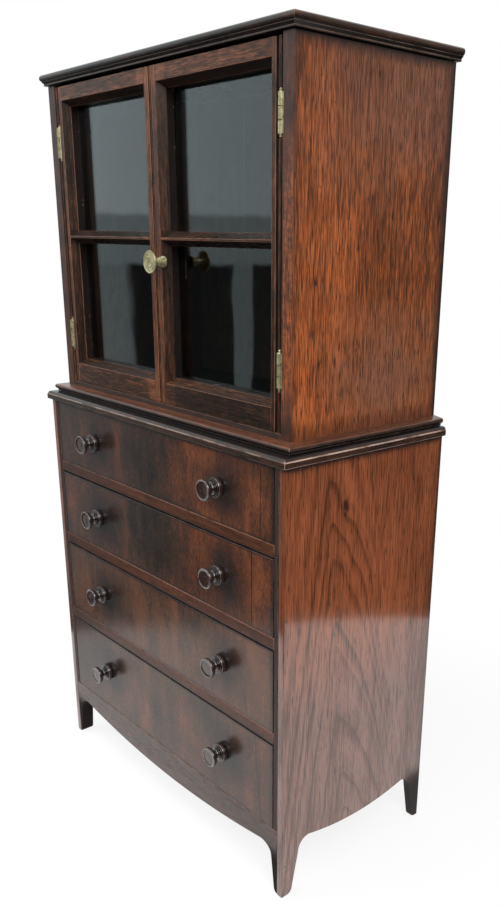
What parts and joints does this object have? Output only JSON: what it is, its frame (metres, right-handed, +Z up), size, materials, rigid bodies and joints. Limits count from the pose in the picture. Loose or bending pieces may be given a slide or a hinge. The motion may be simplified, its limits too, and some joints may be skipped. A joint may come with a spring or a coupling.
{
  "type": "miniature cabinet on chest",
  "caption": "Miniature mahogany cabinet on chest: glazed cupboard doors on butt hinges above graduated sliding drawers with turned knobs, on a bowed apron and tapered feet.",
  "frame": {"origin": "on the floor, under the middle of the object's box", "axes": "+Z up, +X to the right seen from the front, +Y towards the back"},
  "size_m": [0.3802, 0.2038, 0.7035],
  "materials": {
    "figured_mahogany": "old waxed polish, dark cathedral figure",
    "straight_mahogany": "old waxed polish, straight open-pored grain",
    "dark_moulding": "dark polished mahogany",
    "turned_mahogany": "turned and polished",
    "drawer_lining": "bare planed wood",
    "backboard": "rough dark stained wood",
    "aged_brass": "aged, rubbed on the edges",
    "window_glass": "clear old window glass"
  },
  "bodies": {
    "carcase": {"chest_side_left": "figured_mahogany", "front_post_left": "dark_moulding", "cabinet_side_left": "straight_mahogany", "chest_side_right": "figured_mahogany", "front_post_right": "dark_moulding", "cabinet_side_right": "straight_mahogany", "front_apron": "figured_mahogany", "chest_back": "backboard", "chest_floor": "backboard", "chest_top": "dark_moulding", "drawer_divider_1": "dark_moulding", "drawer_divider_2": "dark_moulding", "drawer_divider_3": "dark_moulding", "base_moulding": "dark_moulding", "cabinet_top": "dark_moulding", "cabinet_floor": "straight_mahogany", "cabinet_back": "backboard", "shelf": "straight_mahogany", "hinge_left_upper_case_leaf": "aged_brass", "hinge_left_lower_case_leaf": "aged_brass", "hinge_right_upper_case_leaf": "aged_brass", "hinge_right_lower_case_leaf": "aged_brass"},
    "left_door": {"left_door_hanging_stile": "dark_moulding", "left_door_meeting_stile": "dark_moulding", "left_door_top_rail": "dark_moulding", "left_door_bottom_rail": "dark_moulding", "left_door_glazing_bar": "dark_moulding", "left_door_pane_fillet": "dark_moulding", "left_door_upper_pane": "window_glass", "left_door_lower_pane": "window_glass", "hinge_left_upper_door_leaf": "aged_brass", "hinge_left_lower_door_leaf": "aged_brass"},
    "right_door": {"right_door_hanging_stile": "dark_moulding", "right_door_meeting_stile": "dark_moulding", "right_door_top_rail": "dark_moulding", "right_door_bottom_rail": "dark_moulding", "right_door_glazing_bar": "dark_moulding", "right_door_pane_fillet": "dark_moulding", "right_door_upper_pane": "window_glass", "right_door_lower_pane": "window_glass", "hinge_right_upper_door_leaf": "aged_brass", "hinge_right_lower_door_leaf": "aged_brass"},
    "turn_catch": {"turn_knob": "aged_brass", "catch_tongue": "aged_brass"},
    "drawer_1": {"drawer_1_front": "figured_mahogany", "drawer_1_box": "drawer_lining", "drawer_1_knob_left": "turned_mahogany", "drawer_1_knob_right": "turned_mahogany"},
    "drawer_2": {"drawer_2_front": "figured_mahogany", "drawer_2_box": "drawer_lining", "drawer_2_knob_left": "turned_mahogany", "drawer_2_knob_right": "turned_mahogany"},
    "drawer_3": {"drawer_3_front": "figured_mahogany", "drawer_3_box": "drawer_lining", "drawer_3_knob_left": "turned_mahogany", "drawer_3_knob_right": "turned_mahogany"},
    "drawer_4": {"drawer_4_front": "figured_mahogany", "drawer_4_box": "drawer_lining", "drawer_4_knob_left": "turned_mahogany", "drawer_4_knob_right": "turned_mahogany"}
  },
  "joints": [
    {"name": "right_door_hinge", "type": "hinge", "parent": "carcase", "child": "right_door", "pos_m": [0.1603, -0.069, 0.5554], "axis": [0, 0, 1], "range_deg": [0, 120]},
    {"name": "left_door_hinge", "type": "hinge", "parent": "carcase", "child": "left_door", "pos_m": [-0.1603, -0.069, 0.5554], "axis": [0, 0, -1], "range_deg": [0, 120]},
    {"name": "turn_knob_turn", "type": "hinge", "parent": "right_door", "child": "turn_catch", "pos_m": [0.0089, -0.0704, 0.5412], "axis": [0, 1, 0], "range_deg": [0, 90]},
    {"name": "drawer_1_slide", "type": "slide", "parent": "carcase", "child": "drawer_1", "axis": [0, -1, 0], "range_m": [0, 0.12]},
    {"name": "drawer_2_slide", "type": "slide", "parent": "carcase", "child": "drawer_2", "axis": [0, -1, 0], "range_m": [0, 0.12]},
    {"name": "drawer_3_slide", "type": "slide", "parent": "carcase", "child": "drawer_3", "axis": [0, -1, 0], "range_m": [0, 0.12]},
    {"name": "drawer_4_slide", "type": "slide", "parent": "carcase", "child": "drawer_4", "axis": [0, -1, 0], "range_m": [0, 0.12]}
  ]
}
